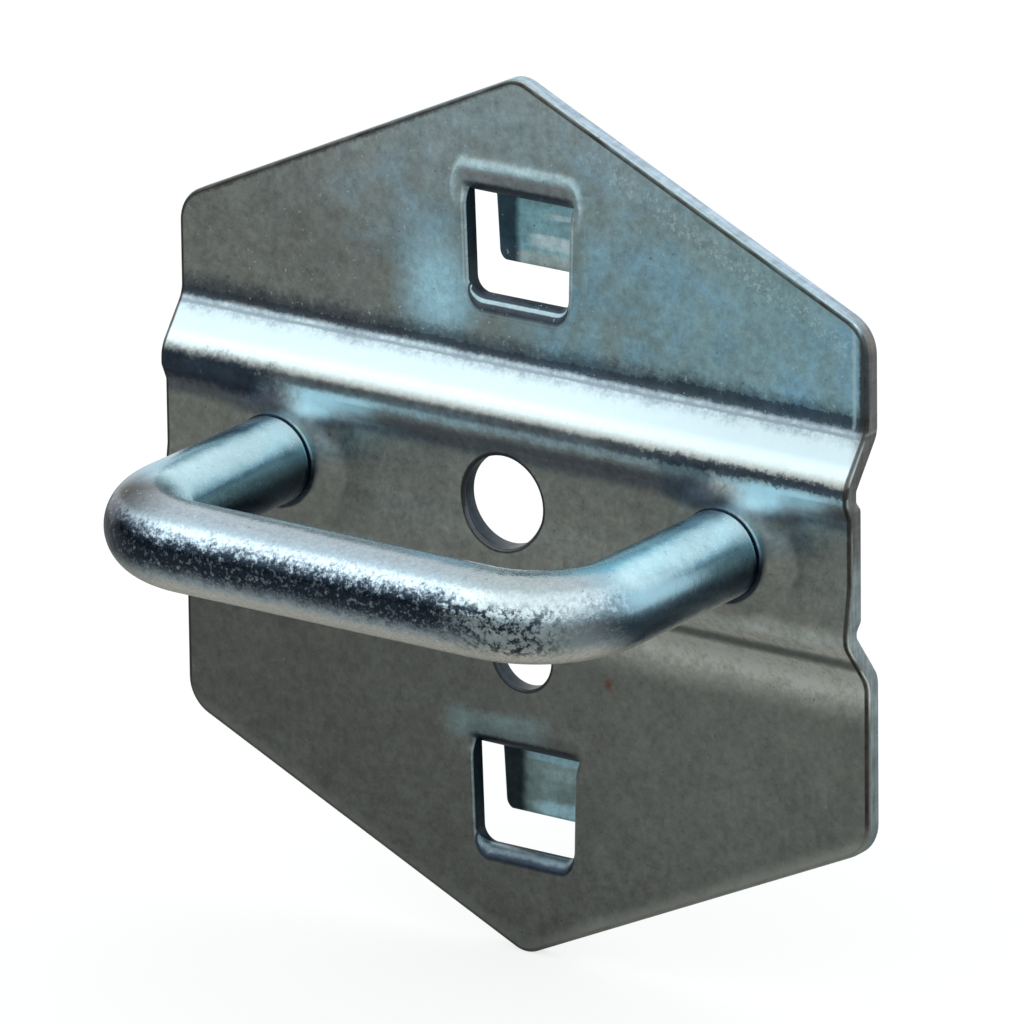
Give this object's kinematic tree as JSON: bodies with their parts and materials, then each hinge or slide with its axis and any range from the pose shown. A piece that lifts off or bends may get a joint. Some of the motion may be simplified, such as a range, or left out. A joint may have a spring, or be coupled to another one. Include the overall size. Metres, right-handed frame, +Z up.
{
  "type": "pegboard hook",
  "caption": "Pressed steel plate with pointed ends and a raised cross band, lanced tabs that hook behind a perforated panel, and a round wire bar that stands out to hold tools.",
  "frame": {"origin": "on the panel's face, at the middle of the plate", "axes": "+X across the plate to the right as seen by the user, +Y into the panel, +Z up"},
  "size_m": [0.0544, 0.0282, 0.06],
  "materials": {
    "plate_steel": "zinc plated, satin",
    "bar_steel": "zinc plated, satin"
  },
  "bodies": {
    "root": {"plate": "plate_steel", "bar": "bar_steel"}
  },
  "joints": []
}
